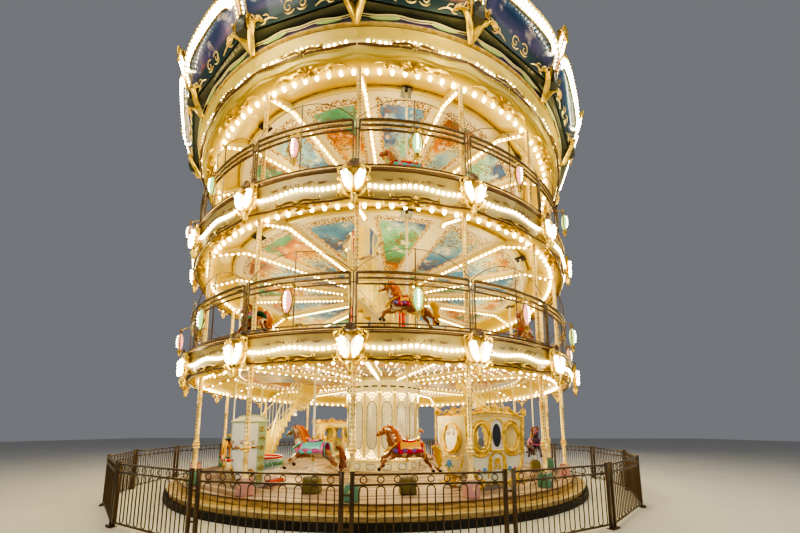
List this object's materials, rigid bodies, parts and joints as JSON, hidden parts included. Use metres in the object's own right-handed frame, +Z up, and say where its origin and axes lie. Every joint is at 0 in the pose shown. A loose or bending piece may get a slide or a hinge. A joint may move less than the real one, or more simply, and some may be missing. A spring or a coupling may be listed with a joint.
{
  "type": "fairground carousel",
  "caption": "Fairground carousel in three storeys: turning decks with galloping horses, coaches and gondolas, lit rims, arched crown boards and a guard fence.",
  "frame": {"origin": "on the ground, on the axis that the turntable turns about", "axes": "+Z up along the turntable's axis; -Y towards the side that the picture shows, through a corner column"},
  "size_m": [15.0826, 15.0826, 14.6],
  "materials": {
    "black_paint": "satin black paint",
    "pale_gold_paint": "gloss cream-gold paint",
    "bronze_paint": "dark bronze paint",
    "deck_wood": "varnished boards",
    "cream_paint": "satin cream paint",
    "gold_paint": "bright gold paint",
    "brown_paint": "dark brown paint",
    "white_lacquer": "glossy moulded figures",
    "canopy_cloth": "coated canopy cloth"
  },
  "bodies": {
    "base": {"base_plinth": "black_paint", "base_step": "pale_gold_paint", "slewing_ring": "bronze_paint", "fence_1": "bronze_paint", "fence_2": "bronze_paint", "fence_3": "bronze_paint", "fence_4": "bronze_paint"},
    "turntable": {"sweeps_lower": "pale_gold_paint", "sweeps_middle": "pale_gold_paint", "sweeps_upper": "pale_gold_paint", "fascia_middle": "pale_gold_paint", "fascia_upper": "pale_gold_paint", "cornice": "pale_gold_paint", "crank_sleeves": "pale_gold_paint", "railing_middle": "bronze_paint", "railing_upper": "bronze_paint", "platform": "deck_wood", "core_lower": "cream_paint", "core_middle": "cream_paint", "core_upper": "cream_paint", "stair_lower_1": "cream_paint", "stair_lower_2": "cream_paint", "stair_upper_1": "cream_paint", "stair_upper_2": "cream_paint", "ceiling_lower": "cream_paint", "ceiling_middle": "cream_paint", "ceiling_upper": "cream_paint", "roof_deck": "cream_paint", "columns_lower": "gold_paint", "columns_middle": "gold_paint", "columns_upper": "gold_paint", "rounding_boards": "gold_paint", "finial": "gold_paint", "coach_1": "gold_paint", "coach_2": "gold_paint", "deck_middle": "brown_paint", "deck_upper": "brown_paint", "crown_band": "brown_paint", "horses_middle": "white_lacquer", "horses_upper": "white_lacquer", "carriage_1": "white_lacquer", "carriage_2": "white_lacquer", "gondola_1": "white_lacquer", "gondola_2": "white_lacquer", "roof_canopy": "canopy_cloth"},
    "horse_1": {"horse_1": "white_lacquer"},
    "horse_2": {"horse_2": "white_lacquer"},
    "horse_3": {"horse_3": "white_lacquer"},
    "horse_4": {"horse_4": "white_lacquer"},
    "horse_5": {"horse_5": "white_lacquer"},
    "horse_6": {"horse_6": "white_lacquer"},
    "horse_7": {"horse_7": "white_lacquer"},
    "horse_8": {"horse_8": "white_lacquer"}
  },
  "joints": [
    {"name": "turntable_spin", "type": "hinge", "parent": "base", "child": "turntable", "pos_m": [0, 0, 0], "axis": [0, 0, -1], "continuous": true},
    {"name": "horse_1_rise", "type": "slide", "parent": "turntable", "child": "horse_1", "axis": [0, 0, 1], "range_m": [-0.15, 0.15]},
    {"name": "horse_2_rise", "type": "slide", "parent": "turntable", "child": "horse_2", "axis": [0, 0, 1], "range_m": [-0.15, 0.15]},
    {"name": "horse_3_rise", "type": "slide", "parent": "turntable", "child": "horse_3", "axis": [0, 0, 1], "range_m": [-0.15, 0.15]},
    {"name": "horse_4_rise", "type": "slide", "parent": "turntable", "child": "horse_4", "axis": [0, 0, 1], "range_m": [-0.15, 0.15]},
    {"name": "horse_5_rise", "type": "slide", "parent": "turntable", "child": "horse_5", "axis": [0, 0, 1], "range_m": [-0.15, 0.15]},
    {"name": "horse_6_rise", "type": "slide", "parent": "turntable", "child": "horse_6", "axis": [0, 0, 1], "range_m": [-0.15, 0.15]},
    {"name": "horse_7_rise", "type": "slide", "parent": "turntable", "child": "horse_7", "axis": [0, 0, 1], "range_m": [-0.15, 0.15]},
    {"name": "horse_8_rise", "type": "slide", "parent": "turntable", "child": "horse_8", "axis": [0, 0, 1], "range_m": [-0.15, 0.15]}
  ]
}
